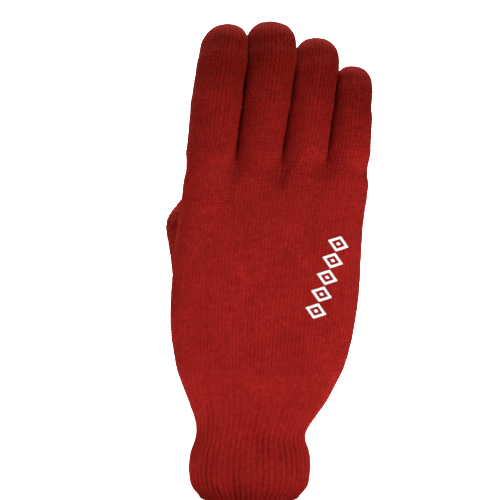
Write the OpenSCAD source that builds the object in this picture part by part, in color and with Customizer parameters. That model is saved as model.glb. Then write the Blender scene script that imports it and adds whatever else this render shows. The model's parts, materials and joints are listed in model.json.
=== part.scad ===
// Knitted touchscreen glove for the right hand, held in its worn shape.
// Frame: origin at the centre of the wrist opening, in the plane of the hem's
// lower edge. +Z runs from the wrist to the fingertips, +X to the little-finger
// side, -Y is the back of the hand and +Y is the palm side. Millimetres.

/* [Fabric] */
// Thickness of the single jersey knit
fabric_t = 1.6; // [1.2:0.1:1.8]
// Thickness of the ribbed cuff
rib_t = 2.0; // [1.6:0.1:2.4]
// Gap between cloth of two bodies that move past each other
gap = 0.3; // [0.2:0.05:0.4]

/* [Fingers] */
// Free bend of the hand at the wrist, forward and back, in degrees
wrist_bend = 20; // [10:2:20]
// How far each finger bends at its base, in degrees
base_bend = 60; // [40:5:60]
// How far each finger bends at its middle knuckle, in degrees
mid_bend = 70; // [50:5:70]
// How far each finger bends at its end knuckle, in degrees
end_bend = 42; // [30:2:42]
// Length of the index finger from its base bend to its tip
index_l = 63.8; // [62:0.2:66]
// Length of the middle finger from its base bend to its tip
middle_l = 65.4; // [63:0.2:68]
// Length of the ring finger from its base bend to its tip
ring_l = 57.3; // [55:0.2:60]
// Length of the little finger from its base bend to its tip
little_l = 43.5; // [42.5:0.1:46.5]

/* [Thumb] */
// Outer radius of the thumb tube
thumb_r = 11.2; // [10:0.1:11.4]
// Outer radius of the thumb tip
thumb_tip_r = 10.2; // [9.5:0.1:10.6]

/* [Cuff] */
// Height of the rolled hem at the wrist edge
hem_h = 4.0; // [3:0.5:5]
// Number of elastic threads laid inside the cuff
elastic_n = 6; // [4:1:8]
// Radius of one elastic thread
elastic_r = 0.5; // [0.3:0.05:0.6]

/* [Print] */
// Number of outlined diamonds in the print on the back
print_n = 5; // [3:1:5]
// Thickness of the printed film
print_t = 0.25; // [0.15:0.05:0.4]

/* [Hidden] */
$fn = 48;

red = [0.55, 0.07, 0.06];
deep_red = [0.42, 0.05, 0.04];
t = fabric_t;
hg = gap / 2;

// [base x, base z, lean to +X, first length, second length, whole length, radii at base, middle, end, tip]
FINGERS = [
  [-18.9, 167, 6.5, 24.5, 20.5, index_l, 11.1, 11.0, 10.9, 10.7],
  [3.7, 167, 6.7, 25, 21, middle_l, 11.0, 11.0, 11.0, 10.9],
  [25.6, 167, 7.2, 22.5, 18, ring_l, 10.4, 10.2, 10.0, 9.9],
  [46.5, 166.7, 4.5, 16.5, 13, little_l, 10.0, 9.3, 8.8, 8.6]
];
// Rest tilt towards the palm that each bend adds
TILT = [5, 7, 8];

// Thumb pivots: swing at the base, knuckle, and the centre of the tip
T1 = [-23.5, 25.5, 91.5];
T2 = [-28.9, 22.5, 131];
T4 = [-19.6, 24.5, 148.4];

// Hand sections: [z, centre x, half width, half depth, centre y, squareness]
HAND = [[3, 0, 26.4, 18.1, 0, 2.4], [8, 0, 27.8, 19, 0, 2.4], [14, 0, 28.4, 19.4, 0, 2.4], [20, 0, 28.2, 19.3, 0, 2.4],
  [26, 0, 27.2, 18.6, 0, 2.4], [31, 0.1, 25.9, 17.7, 0, 2.4], [34, 0.4, 25.9, 17.5, 0, 2.4],
  [40, 2.4, 28.2, 17.2, 0, 2.4], [48, 3.4, 32.2, 16.6, 0.1, 2.4], [56, 4.3, 36.2, 16, 0.3, 2.45],
  [64, 4.9, 39, 15.6, 0.4, 2.45], [72, 5.4, 41.2, 15.2, 0.5, 2.45], [80, 5.7, 43.1, 14.9, 0.5, 2.45],
  [88, 6, 44.1, 14.6, 0.4, 2.45], [96, 6.7, 44.7, 14.3, 0.3, 2.45], [104, 7.3, 44.7, 14.1, 0.2, 2.45],
  [112, 7.9, 44.6, 14, 0.1, 2.45], [120, 8.4, 44.4, 13.9, 0, 2.5], [128, 9, 44.3, 13.8, 0, 2.55],
  [136, 10, 44.2, 13.5, 0, 2.7], [144, 11.3, 44.2, 13, 0, 3], [152, 12.3, 43.9, 12.2, 0, 3.6],
  [157, 12.9, 43.6, 11.6, 0, 4], [160, 13.2, 43.2, 11.3, 0, 4.2]];
SIDES = 56;
wrist_z = 33;

// Thenar pad: the palm side swells at the foot of the thumb
function pad(x, y, z) = y <= 0 ? 0 : 7 * exp(-pow((x + 15) / 17, 2) - pow((z - 66) / 19, 2)) * min(1, y / 8);
function sgnpow(v, e) = sign(v) * pow(abs(v), e);
function ring_pt(s, k, off, z) =
  let (a = 360 * k / SIDES, x = s[1] + (s[2] + off) * sgnpow(cos(a), 2 / s[5]),
       y = s[4] + (s[3] + off) * sgnpow(sin(a), 2 / s[5]))
  [x, y + pad(x, y, z), z];
function lerp(a, b, f) = a + (b - a) * f;
// Section at any height, by straight lines between the listed ones
function sec(list, z, i = 0) =
  i >= len(list) - 2 || z <= list[i + 1][0]
    ? let (f = (z - list[i][0]) / (list[i + 1][0] - list[i][0])) [for (j = [0:5]) lerp(list[i][j], list[i + 1][j], f)]
    : sec(list, z, i + 1);
// The listed heights strictly between two limits, with the limits at the ends
function heights(list, lo, hi) = concat([lo], [for (s = list) if (s[0] > lo + 0.5 && s[0] < hi - 0.5) s[0]], [hi]);

// Closed body lofted through sections, grown by off
module loft(zs, list, off) {
  n = len(zs);
  pts = [for (z = zs) each [for (k = [0:SIDES - 1]) ring_pt(sec(list, z), k, off, z)]];
  walls = [for (i = [0:n - 2]) each [for (k = [0:SIDES - 1])
    let (k2 = (k + 1) % SIDES) [i * SIDES + k, (i + 1) * SIDES + k, (i + 1) * SIDES + k2, i * SIDES + k2]]];
  polyhedron(points = pts, convexity = 6, faces = concat(
    [[for (k = [0:SIDES - 1]) k]],
    walls,
    [[for (k = [SIDES - 1:-1:0]) (n - 1) * SIDES + k]]));
}

// ---- Frames of the fingers -------------------------------------------------
module at_base(f) { translate([f[0], 0, f[1]]) rotate([0, f[2], 0]) children(); }
module at_seg(f, k) {
  at_base(f) rotate([-TILT[0], 0, 0])
    if (k == 0) children();
    else translate([0, 0, f[3]]) rotate([-TILT[1], 0, 0])
      if (k == 1) children();
      else translate([0, 0, f[4]]) rotate([-TILT[2], 0, 0]) children();
}
// Halfway between the directions on both sides of bend k
module at_bend(f, k) {
  if (k == 0) at_base(f) rotate([-TILT[0] / 2, 0, 0]) children();
  else if (k == 1) at_seg(f, 0) translate([0, 0, f[3]]) rotate([-TILT[1] / 2, 0, 0]) children();
  else at_seg(f, 1) translate([0, 0, f[4]]) rotate([-TILT[2] / 2, 0, 0]) children();
}
BENDS = [base_bend, mid_bend, end_bend];

// Space beyond a bend: ain opens on the palm side (+Y), aout on the other
module beyond(ain, aout, big = 45) {
  rotate([90, 0, 90]) translate([0, 0, -big])
    linear_extrude(height = 2 * big)
      polygon([[0, hg], [big, hg + big * tan(ain)], [big, 3 * big], [-big, 3 * big], [-big, hg + big * tan(aout)]]);
}
module short_of(ain, aout, big = 45) { mirror([0, 0, 1]) beyond(ain, aout, big); }
// Wedge of cloth that folds on the palm side
module wedge(ain, big = 20) {
  rotate([90, 0, 90]) translate([0, 0, -big])
    linear_extrude(height = 2 * big)
      polygon([[1.5, -1.5 * tan(ain)], [big, -big * tan(ain)], [big, big * tan(ain)], [1.5, 1.5 * tan(ain)]]);
}
module tube(len, ra, rb, ext) {
  s = (rb - ra) / len;
  difference() {
    translate([0, 0, -ext]) cylinder(h = len + 2 * ext, r1 = ra - s * ext, r2 = rb + s * ext);
    translate([0, 0, -ext - 1]) cylinder(h = len + 2 * ext + 2, r1 = ra - t - s * (ext + 1), r2 = rb - t + s * (ext + 1));
  }
}
// Closed round end: straight cone to the tip's centre, then a quarter circle
function cap_profile(ra, r, h, ext, back = 0) = concat(
  [[0, -ext], [ra + (ra - r) / h * ext, -ext]],
  [for (a = [0:9:90]) [r * cos(a), h + r * sin(a)]]);
module cap_end(ra, r, len, ext) {
  h = len - r;
  difference() {
    rotate_extrude() polygon(cap_profile(ra, r, h, ext));
    rotate_extrude() polygon(cap_profile(ra - t, r - t, h, ext + 1));
  }
}

module finger_tube(f, k) {
  color(red)
  intersection() {
    at_seg(f, k) tube(f[3 + k], f[6 + k], f[7 + k], 4);
    at_bend(f, k) beyond(BENDS[k] / 2, 0);
    at_bend(f, k + 1) short_of(BENDS[k + 1] / 2, 0);
  }
}
module finger_tip(f, c) {
  color(c)
  intersection() {
    at_seg(f, 2) cap_end(f[8], f[9], f[5] - f[3] - f[4], 4);
    at_bend(f, 2) beyond(BENDS[2] / 2, 0);
  }
}
module finger_fold(f, k) {
  color(deep_red)
  intersection() {
    at_bend(f, k) tube(24, f[6 + k], f[6 + k], 12);
    at_bend(f, k) wedge(BENDS[k] / 2);
  }
}
// Thread drawn through the last loops inside the fingertip
module thread_ring(r) {
  translate([0, 0, sqrt(pow(r - t, 2) - 2.2 * 2.2) - 0.25])
    rotate_extrude() translate([2.2, 0]) circle(r = 0.45, $fn = 24);
}
module closing_thread(f) {
  color(deep_red)
  at_seg(f, 2) translate([0, 0, f[5] - f[3] - f[4] - f[9]]) thread_ring(f[9]);
}

// ---- Thumb -----------------------------------------------------------------
function unit(v) = v / norm(v);
D1 = unit(T2 - T1);
D2 = unit(T4 - T2);
AX = unit(cross(D1, D2));
// Frame at p with z along d and x along the knuckle's axis
module thumb_frame(p, d) {
  y = cross(d, AX);
  multmatrix([[AX[0], y[0], d[0], p[0]], [AX[1], y[1], d[1], p[1]], [AX[2], y[2], d[2], p[2]], [0, 0, 0, 1]]) children();
}
// In this frame the inner side of the knuckle is -Y
DB = unit(D1 + D2);
thumb_in = 8.5;
thumb_out = 18.5;
thumb_l = norm(T2 - T1);
module thumb_lower() {
  color(red)
  difference() {
    union() {
      intersection() {
        thumb_frame(T1, D1) cylinder(h = thumb_l + 8, r = thumb_r);
        thumb_frame(T2, DB) short_of(thumb_out, thumb_in);
      }
      translate(T1) sphere(r = thumb_r + 0.4);
    }
    translate(T1) sphere(r = thumb_r + 0.4 - t);
    thumb_frame(T1, D1) cylinder(h = thumb_l + 12, r = thumb_r - t);
    translate([T1[0], T1[1] - 6, T1[2]]) rotate([90, 0, 0]) cylinder(h = 20, r = thumb_r + 0.9);
  }
}
module thumb_tip() {
  l = norm(T4 - T2) + thumb_tip_r;
  color(deep_red)
  intersection() {
    thumb_frame(T2, D2) cap_end(thumb_r, thumb_tip_r, l, 7);
    thumb_frame(T2, DB) beyond(thumb_out, thumb_in);
  }
}
// Ball of cloth over the knuckle, between the two tubes' end faces
module thumb_fold() {
  color(deep_red)
  difference() {
    translate(T2) sphere(r = thumb_r);
    translate(T2) sphere(r = thumb_r - t);
    thumb_frame(T2, DB) {
      a = thumb_out; b = thumb_in; big = 30;
      rotate([90, 0, 90]) translate([0, 0, -big]) linear_extrude(height = 2 * big)
        polygon([[1.5, 1.5 * tan(a)], [big, big * tan(a)], [big, big * 2], [-big, big * 2], [-big, big * tan(b)], [-1.5, 1.5 * tan(b)]]);
      rotate([90, 0, 90]) translate([0, 0, -big]) linear_extrude(height = 2 * big)
        polygon([[1.5, -1.5 * tan(a)], [big, -big * tan(a)], [big, -big * 2], [-big, -big * 2], [-big, -big * tan(b)], [-1.5, -1.5 * tan(b)]]);
      cube([2 * big, 3, 3], center = true);
    }
  }
}
module thumb_thread() {
  color(deep_red)
  thumb_frame(T2, D2) translate([0, 0, norm(T4 - T2)]) thread_ring(thumb_tip_r);
}

// ---- Hand ------------------------------------------------------------------
// Space above the wrist bend: a shallow V that opens to the front and the back
module wrist_above(g, big = 60) {
  w = big * tan(wrist_bend / 2);
  translate([-big, 0, wrist_z]) rotate([90, 0, 90]) linear_extrude(height = 3 * big)
    polygon([[0, g], [big, g + w], [big, 4 * big], [-big, 4 * big], [-big, g + w]]);
}
module wrist_below(g) { translate([0, 0, 2 * wrist_z]) mirror([0, 0, 1]) wrist_above(g); }
module stub(f, r, low) {
  intersection() {
    at_base(f) translate([0, 0, low]) cylinder(h = 14 - low, r = r, $fn = 40);
    at_bend(f, 0) short_of(base_bend / 2, 0);
  }
}
module palm_tube() {
  color(red)
  resize([0, 0, 0])
  difference() {
    union() {
      intersection() {
        loft(heights(HAND, 30, 160), HAND, 0);
        wrist_above(hg);
      }
      for (f = FINGERS) stub(f, f[6], -14);
      translate([T1[0], T1[1] - 6 - gap, T1[2]]) rotate([90, 0, 0]) cylinder(h = 12, r = thumb_r + 0.4, $fn = 40);
    }
    loft(heights(HAND, 26, 158.4), HAND, -t);
    for (f = FINGERS) at_base(f) translate([0, 0, -16]) cylinder(h = 34, r = f[6] - t, $fn = 40);
    translate([T1[0], T1[1] - 5, T1[2]]) rotate([90, 0, 0]) cylinder(h = 20, r = thumb_r + 0.4 - t, $fn = 40);
  }
}
module cuff_rib() {
  color(red)
  resize([0, 0, 0])
  intersection() {
    difference() {
      loft(heights(HAND, hem_h + 0.02, 40), HAND, 0);
      loft(heights(HAND, 3, 42), HAND, -rib_t);
    }
    wrist_below(hg);
  }
}
// Cloth at the narrow of the wrist, which gathers on one side as the hand bends
module wrist_fold() {
  color(deep_red)
  resize([0, 0, 0])
  difference() {
    loft(heights(HAND, 24, 42), HAND, 0);
    loft(heights(HAND, 22, 44), HAND, -t);
    wrist_above(-hg);
    wrist_below(-hg);
    translate([-60, -2.5, 0]) cube([120, 5, 60]);
  }
}
HEM = [[0, 0, 24.4, 16.4, 0, 2.4], [1.2, 0, 25.5, 17.3, 0, 2.4], [2.6, 0, 26.4, 18.1, 0, 2.4], [hem_h, 0, 26.9, 18.5, 0, 2.4]];
module cuff_hem() {
  color(deep_red)
  resize([0, 0, 0])
  difference() {
    loft([for (s = HEM) s[0]], HEM, 0);
    loft([-1, 1.2, 2.6, hem_h + 1], HEM, -rib_t - 0.5);
  }
}
// One elastic thread lying round the inner face of the cuff at height z
module elastic(z) {
  m = 48; q = 6;
  s = sec(HAND, z);
  c = -rib_t - elastic_r + 0.15;
  pts = [for (k = [0:m - 1]) let (a = 360 * k / m, x = s[1] + (s[2] + c) * sgnpow(cos(a), 2 / s[5]), y = (s[3] + c) * sgnpow(sin(a), 2 / s[5]),
      n = unit([cos(a) / s[2], sin(a) / s[3]])) each
    [for (j = [0:q - 1]) let (b = 360 * j / q) [x + n[0] * elastic_r * cos(b), y + n[1] * elastic_r * cos(b), z + elastic_r * sin(b)]]];
  polyhedron(points = pts, faces = [for (k = [0:m - 1]) each [for (j = [0:q - 1])
    let (k2 = (k + 1) % m, j2 = (j + 1) % q) [k * q + j, k * q + j2, k2 * q + j2, k2 * q + j]]]);
}
module cuff_elastic() {
  color([0.75, 0.72, 0.68])
  for (i = [0:elastic_n - 1]) elastic(7.5 + 19 * i / (elastic_n - 1));
}

// Print: a chain of outlined diamonds up the little-finger side of the back
print_a = 71.5;
print_x = 36.6;
print_z = 108;
module diamond(w, h) { polygon([[-w / 2, 0], [0, -h / 2], [w / 2, 0], [0, h / 2]]); }
module print_shapes() {
  step = 8.4;
  for (i = [0:print_n - 1]) translate([(i - (print_n - 1) / 2) * step, 0]) {
    difference() { diamond(7.8, 10.6); diamond(4.9, 6.6); }
    diamond(1.8, 2.5);
  }
}
module back_print() {
  color("white")
  resize([0, 0, 0])
  intersection() {
    difference() {
      loft([for (z = [76:4:140]) z], HAND, 0.04 + print_t);
      loft([for (z = [72:4:144]) z], HAND, 0.04);
    }
    translate([print_x, 0, print_z]) rotate([90, 0, 0]) rotate([0, 0, print_a]) linear_extrude(height = 30) print_shapes();
  }
}

// Linking stitches that close the holes between the finger tubes, front and back
module crotch_stitches() {
  color(deep_red)
  for (i = [0:2], y = [-8.7, -7, 7, 8.7])
    translate([(FINGERS[i][0] + FINGERS[i + 1][0]) / 2 - 0.6, y, 160.95]) rotate([90, 0, 0])
      rotate_extrude() translate([0.9, 0]) circle(r = 0.4, $fn = 20);
}

palm_tube();
cuff_rib();
cuff_hem();
cuff_elastic();
wrist_fold();
back_print();
crotch_stitches();
finger_tube(FINGERS[0], 0);  // index_lower_tube
finger_tube(FINGERS[0], 1);  // index_upper_tube
finger_tip(FINGERS[0], deep_red);  // index_touch_tip
closing_thread(FINGERS[0]);  // index_closing_thread
finger_fold(FINGERS[0], 0);  // index_base_fold
finger_fold(FINGERS[0], 1);  // index_mid_fold
finger_fold(FINGERS[0], 2);  // index_end_fold
finger_tube(FINGERS[1], 0);  // middle_lower_tube
finger_tube(FINGERS[1], 1);  // middle_upper_tube
finger_tip(FINGERS[1], deep_red);  // middle_touch_tip
closing_thread(FINGERS[1]);  // middle_closing_thread
finger_fold(FINGERS[1], 0);  // middle_base_fold
finger_fold(FINGERS[1], 1);  // middle_mid_fold
finger_fold(FINGERS[1], 2);  // middle_end_fold
finger_tube(FINGERS[2], 0);  // ring_lower_tube
finger_tube(FINGERS[2], 1);  // ring_upper_tube
finger_tip(FINGERS[2], red);  // ring_plain_tip
closing_thread(FINGERS[2]);  // ring_closing_thread
finger_fold(FINGERS[2], 0);  // ring_base_fold
finger_fold(FINGERS[2], 1);  // ring_mid_fold
finger_fold(FINGERS[2], 2);  // ring_end_fold
finger_tube(FINGERS[3], 0);  // little_lower_tube
finger_tube(FINGERS[3], 1);  // little_upper_tube
finger_tip(FINGERS[3], red);  // little_plain_tip
closing_thread(FINGERS[3]);  // little_closing_thread
finger_fold(FINGERS[3], 0);  // little_base_fold
finger_fold(FINGERS[3], 1);  // little_mid_fold
finger_fold(FINGERS[3], 2);  // little_end_fold
thumb_lower();  // thumb_lower_tube
thumb_tip();  // thumb_touch_tip
thumb_thread();  // thumb_closing_thread
thumb_fold();  // thumb_knuckle_fold
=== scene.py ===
import json
import math

import bpy
import numpy as np
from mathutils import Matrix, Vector
from mathutils.bvhtree import BVHTree


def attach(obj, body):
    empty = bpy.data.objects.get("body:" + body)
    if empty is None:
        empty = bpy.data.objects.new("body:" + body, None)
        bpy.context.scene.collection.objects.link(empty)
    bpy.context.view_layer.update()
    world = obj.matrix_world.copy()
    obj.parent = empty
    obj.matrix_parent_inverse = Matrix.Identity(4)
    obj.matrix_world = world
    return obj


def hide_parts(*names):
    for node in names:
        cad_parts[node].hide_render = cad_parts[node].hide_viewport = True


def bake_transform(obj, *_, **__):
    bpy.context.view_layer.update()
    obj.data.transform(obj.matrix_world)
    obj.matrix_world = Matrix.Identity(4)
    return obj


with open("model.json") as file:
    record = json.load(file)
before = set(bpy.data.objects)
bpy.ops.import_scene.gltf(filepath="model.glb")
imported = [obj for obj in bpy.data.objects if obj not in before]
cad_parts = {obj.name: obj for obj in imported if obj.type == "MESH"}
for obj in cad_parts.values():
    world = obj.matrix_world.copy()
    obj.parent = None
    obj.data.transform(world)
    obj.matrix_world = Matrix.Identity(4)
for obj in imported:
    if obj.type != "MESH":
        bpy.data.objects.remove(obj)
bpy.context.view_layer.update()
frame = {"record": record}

rng = np.random.default_rng(7)

# ---------------------------------------------------------------- the frame's numbers
# Everything below works in millimetres and is scaled to metres as each mesh is made.
MM = 0.001
JOINT = {j["name"]: j for j in frame["record"]["behaviour"]["joints"]}


def pivot(name):
    return np.array(JOINT[name]["pos_m"]) / MM


def smooth(x, a, b):
    t = np.clip((np.asarray(x, float) - a) / (b - a), 0, 1)
    return t * t * (3 - 2 * t)


# The hand's outline seen from the back: height, left edge, right edge
OUTLINE = np.array([
    [-6, -21.4, 20.9], [0, -22.0, 21.4], [2.9, -23.6, 22.7], [4.3, -25.0, 24.4], [5.8, -26.4, 25.9], [8.6, -28.3, 27.8],
    [16.3, -29.4, 28.9], [24, -28.5, 28.4], [28.5, -26.7, 26.8], [31.7, -25.7, 26.2], [35, -25.5, 27.2], [39.4, -25.9, 30.2],
    [47, -28.8, 36.0], [54.7, -31.9, 40.3], [62.4, -34.6, 44.2], [70.1, -36.2, 47.0], [77.8, -37.5, 49.0],
    [85.4, -38.3, 50.4], [93.1, -38.4, 51.6], [100.8, -38.0, 52.3], [108.5, -37.5, 52.8], [116.2, -37.1, 53.3],
    [123.8, -36.1, 53.8], [131.5, -34.8, 54.3], [139.2, -33.6, 55.2], [146.9, -32.6, 56.4], [154.6, -31.7, 57.1],
    [162.2, -30.9, 57.1], [175, -29.6, 57.4]])
# Depth sections: height, half depth, centre y, squareness
DEPTH = np.array([
    [-6, 14.0, 0, 2.4], [0, 14.4, 0, 2.4], [2.9, 15.6, 0, 2.4], [5.8, 17.8, 0, 2.4], [9.6, 19.1, 0, 2.4], [16, 19.5, 0, 2.4],
    [24, 18.9, 0, 2.4], [31.7, 17.5, 0, 2.4], [36, 17.3, 0, 2.4], [48, 16.7, 0.1, 2.4], [56, 16.1, 0.3, 2.45], [64, 15.7, 0.4, 2.45],
    [80, 15.0, 0.5, 2.45], [96, 14.4, 0.3, 2.45], [112, 14.1, 0.1, 2.45], [128, 13.9, 0, 2.55], [136, 13.6, 0, 2.65],
    [144, 13.1, 0, 2.8], [152, 12.4, 0, 3.0], [157, 11.9, 0, 3.2], [162, 11.3, 0, 3.3], [175, 10.6, 0, 3.4]])
_z = np.arange(-6, 175.01, 0.25)
_k = np.exp(-0.5 * (np.arange(-12, 13) / 5.0) ** 2)
_k /= _k.sum()
_tab = []
_l, _r = (np.interp(_z, OUTLINE[:, 0], OUTLINE[:, c]) for c in (1, 2))
for v in ((_l + _r) / 2, (_r - _l) / 2 + 0.25, *(np.interp(_z, DEPTH[:, 0], DEPTH[:, c]) for c in (1, 2, 3))):
    p = np.concatenate([np.full(12, v[0]), v, np.full(12, v[-1])])
    _tab.append(np.convolve(p, _k, mode="valid"))


def section(z):
    return [np.interp(z, _z, t) for t in _tab]


def pad(x, y, z):
    """How far the palm side stands out at the foot of the thumb and along the heel of the hand."""
    front = smooth(y, 0, 9)
    thenar = 7.0 * np.exp(-((x + 15) / 17) ** 2 - ((z - 66) / 21) ** 2)
    heel = 2.4 * np.exp(-((x - 27) / 16) ** 2 - ((z - 70) / 26) ** 2)
    hollow = -1.8 * np.exp(-((x - 8) / 15) ** 2 - ((z - 96) / 26) ** 2)
    return front * (thenar + heel + hollow)


FINGERS = {
    "index": dict(base=(-18.9, 167), lean=6.5, l1=24.5, l2=20.5, l=63.8, r=(11.1, 11.0, 10.9, 10.7), nb=13,
                  out=[[140, -32.2, -10.6], [164, -30.7, -7.85], [180, -29.0, -5.9], [193, -27.8, -4.3], [204.5, -26.0, -2.9], [212, -24.6, -2.05], [219, -23.6, -1.75], [231, -21.6, -0.6]]),
    "middle": dict(base=(3.7, 167), lean=6.7, l1=25, l2=21, l=65.4, r=(11.0, 11.0, 11.0, 10.9), nb=13,
                   out=[[140, -10.26, 10.65], [164, -7.51, 14.23], [188, -4.6, 17.83], [212, -1.76, 21.4], [220, -1.6, 21.6], [232, -2.0, 21.2]]),
    "ring": dict(base=(25.6, 167), lean=7.2, l1=22.5, l2=18, l=57.3, r=(10.4, 10.2, 10.0, 9.9), nb=12,
                 out=[[140, 11.0, 32.6], [164, 14.57, 35.83], [188, 18.17, 39.1], [202.6, 20.4, 41.1], [212, 21.75, 42.4], [224, 21.3, 41.6]]),
    "little": dict(base=(46.5, 166.7), lean=4.5, l1=16.5, l2=13, l=43.5, r=(10.0, 9.3, 8.8, 8.6), nb=11,
                   out=[[140, 33.0, 54.2], [152, 34.6, 56.0], [164, 36.17, 56.9], [177.6, 38.0, 57.7], [193, 40.15, 58.0], [202, 41.3, 58.1], [210, 41.0, 57.1]]),
}
ORDER = ["index", "middle", "ring", "little"]
TILT = (5, 7, 8)
NS = 8  # stitch columns on the side of a finger
T1, T2 = pivot("thumb_swing"), pivot("thumb_knuckle_bend")
T4 = np.array([-19.6, 24.5, 148.4])


def rot_x(a):
    c, s = math.cos(math.radians(a)), math.sin(math.radians(a))
    return np.array([[1, 0, 0], [0, c, -s], [0, s, c]])


def rot_y(a):
    c, s = math.cos(math.radians(a)), math.sin(math.radians(a))
    return np.array([[c, 0, s], [0, 1, 0], [-s, 0, c]])


GROW = {"index": 1.4, "middle": 0.95, "ring": 0.75, "little": 0.7}   # how far each tip is filled out past the CAD's
for name, f in FINGERS.items():
    f["grow"] = GROW[name]
    R = rot_y(f["lean"])
    p = np.array([f["base"][0], 0, f["base"][1]], float)
    f["root"] = p - R[:, 2] * 24  # hidden in the palm
    f["side"] = R[:, 0]
    pts, dirs = [p], []
    for k, L in enumerate((f["l1"], f["l2"], f["l"] - f["l1"] - f["l2"] - f["r"][3])):
        R = R @ rot_x(-TILT[k])
        dirs.append(R[:, 2])
        pts.append(pts[-1] + R[:, 2] * L)
    f["pts"], f["dirs"] = pts, dirs
    f["out"] = np.array(f["out"])


def finger_plan(f, z):
    """Centre x, half width and sideways slant of the finger's section at height z."""
    lo, hi = (np.interp(z, f["out"][:, 0], f["out"][:, c]) for c in (1, 2))
    return (lo + hi) / 2, (hi - lo) / 2, 0.32 * smooth(z, 158, 169)


SQ = 2.3   # squareness of a finger's section, where it presses on its neighbours


# ---------------------------------------------------------------- the outer surface as a distance
SKIN = 0.22  # the stitches stand this far out of the base surface, so the base lies inside the CAD's


def smin(a, b, k):
    h = np.clip(k - np.abs(a - b), 0, None) / k
    return np.minimum(a, b) - h * h * k * 0.25


def capsule(p, a, b, ra, rb):
    ab = b - a
    t = np.clip((p - a) @ ab / (ab @ ab), 0, 1)
    return np.linalg.norm(p - (a + t[:, None] * ab), axis=1) - (ra + (rb - ra) * t)


def chain(p, pts, rs):
    d = np.full(len(p), 1e9)
    for i in range(len(pts) - 1):
        d = smin(d, capsule(p, pts[i], pts[i + 1], rs[i], rs[i + 1]), 1.2)
    return d + 0.0


def d_finger(p, name):
    f = FINGERS[name]
    r = (f["r"][0] - 0.5,) + tuple(f["r"])
    pts = np.array([f["root"]] + f["pts"])
    pts[-1] += f["dirs"][2] * f["grow"]
    z = p[:, 2]
    ax, ay = np.interp(z, pts[:, 2], pts[:, 0]), np.interp(z, pts[:, 2], pts[:, 1])
    rr = np.interp(z, pts[:, 2], r)
    cx, hw, slant = finger_plan(f, z)
    q = p.copy()
    q[:, 0] = ax + (p[:, 0] - cx + slant * (p[:, 1] - ay)) * rr / hw
    d = np.full(len(p), 1e9)
    for i in range(4):
        a, b = pts[i], pts[i + 1]
        ab = b - a
        t = np.clip((q - a) @ ab / (ab @ ab), 0, 1)
        v = q - (a + t[:, None] * ab)
        u = ab / np.linalg.norm(ab)
        fr = np.cross(u, f["side"])
        e = 2 + (SQ - 2) * smooth(z, 160, 172)
        n = (np.abs(v @ f["side"]) ** e + np.abs(v @ fr) ** e) ** (1 / e)
        k = np.sqrt(n * n + (v @ u) ** 2) - (r[i] + (r[i + 1] - r[i]) * t)
        d = smin(d, k, 1.2)
    return d + SKIN


def palm_raw(p):
    x, y, z = p.T
    cx, hw, hd, cy, e = section(z)
    yy = y - pad(x, y, z)
    q = (np.abs((x - cx) / hw) ** e + np.abs((yy - cy) / hd) ** e) ** (1 / e)
    side = (q - 1) * hd
    top = z - np.interp(x, [-40, -30, -15, -8.1, -1, 3.7, 9, 14.2, 20, 25.3, 30, 35.6, 42, 60], [163, 164, 164, 158.6, 162, 163, 160, 154.0, 160, 162, 161.5, 158.0, 162.5, 162])
    return -smin(-side, -top, 9.0)


def grad(fn, p, h=0.05):
    g = np.empty_like(p)
    for i in range(3):
        q = p.copy()
        q[:, i] += h
        u = p.copy()
        u[:, i] -= h
        g[:, i] = (fn(q) - fn(u)) / (2 * h)
    return g


def d_palm(p):
    v = palm_raw(p)
    g = np.linalg.norm(grad(palm_raw, p), axis=1)
    return v / np.clip(g, 0.3, 3) + SKIN


T2V = T2 + np.array([-1.3, 0.0, 1.2])    # the knuckle stands a little proud of its bend
THUMB_PTS = [np.array([-13.0, 7.0, 62.0]), np.array([-22.6, 19.0, 90.0]), np.array([-26.4, 21.8, 110.0]), T2V, T4]
THUMB_R = [13.5, 12.9, 11.9, 11.2, 10.2]


def d_thumb(p):
    return chain(p, THUMB_PTS, THUMB_R) + SKIN


# ---------------------------------------------------------------- the stitch grid
NB = [FINGERS[n]["nb"] for n in ORDER]
HALF = NS // 2 + sum(NB) + NS // 2          # columns from the thumb side's middle to the other side's
NCOL = 2 * HALF
K = 112                                     # courses from the hem to the crotches
Z_HEM = 3.2
CROTCH = [NS // 2 + sum(NB[:i + 1]) for i in range(3)]
CUT = {"low": 42, "mid": 78}                # the palm's pieces part here
half_f = np.interp(np.arange(HALF + 1), [0] + CROTCH + [HALF], np.array([0, 28.6, 50.9, 72.3, 98.8]) / 98.8)


def half_curve(z, back, n=400):
    """Points along the back or palm half of the section at height z, from the thumb side to the other, evenly by length."""
    a = np.linspace(0, math.pi, n)
    cx, hw, hd, cy, e = section(np.full(n, z))
    x = cx - hw * np.sign(np.cos(a)) * np.abs(np.cos(a)) ** (2 / e)
    y = cy + (-1 if back else 1) * hd * np.abs(np.sin(a)) ** (2 / e)
    y = y + pad(x, y, np.full(n, z))
    s = np.concatenate([[0], np.cumsum(np.hypot(np.diff(x), np.diff(y)))])
    return x, y, s / s[-1]


def palm_row(zs):
    """One vertex per column; zs is a height for each column."""
    out = np.zeros((NCOL, 3))
    for z in np.unique(np.round(zs, 3)):
        xb, yb, sb = half_curve(z, True)
        xf, yf, sf = half_curve(z, False)
        for j in np.nonzero(np.abs(zs - z) < 0.0006)[0]:
            h = j if j <= HALF else NCOL - j
            x, y, s = (xb, yb, sb) if j <= HALF else (xf, yf, sf)
            out[j] = (np.interp(half_f[h], s, x), np.interp(half_f[h], s, y), z)
    return out


# Height of the top course at each column
top_z = np.interp(np.arange(HALF + 1), [0] + CROTCH + [HALF], [162.5, 161.0, 156.5, 160.0, 161.5])
top_z = np.concatenate([top_z, top_z[1:HALF][::-1]])

verts, kind = [], []
VID = {}


def add_vert(p, tag):
    verts.append(p)
    kind.append(tag)
    return len(verts) - 1


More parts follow.
